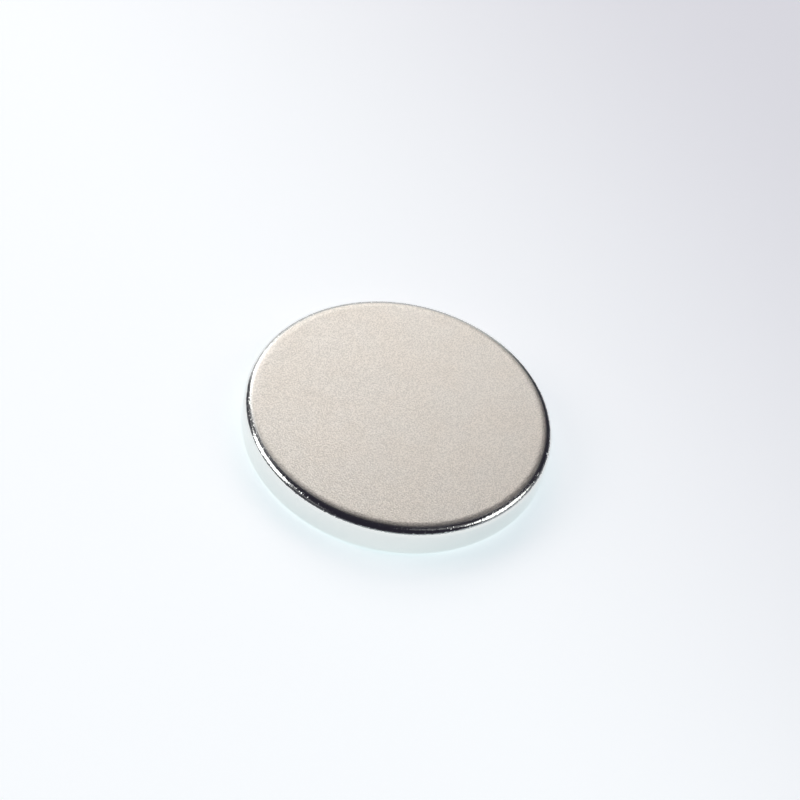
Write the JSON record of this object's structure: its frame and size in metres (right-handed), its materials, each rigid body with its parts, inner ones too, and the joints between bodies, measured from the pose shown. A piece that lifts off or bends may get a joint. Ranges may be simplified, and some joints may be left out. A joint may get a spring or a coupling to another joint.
{
  "type": "cylinder magnet",
  "caption": "Flat round permanent magnet disc with two plane pole faces, a straight wall and softly rounded edges.",
  "frame": {"origin": "centre of the lower pole face", "axes": "+Z along the magnetic axis, out of the upper pole face; the disc is round about it, so +X and +Y are free"},
  "size_m": [0.02, 0.02, 0.0025],
  "materials": {
    "nickel_plate": "satin nickel plate on the pole faces, bright on the tumbled edges and the wall"
  },
  "bodies": {
    "root": {"magnet": "nickel_plate"}
  },
  "joints": []
}
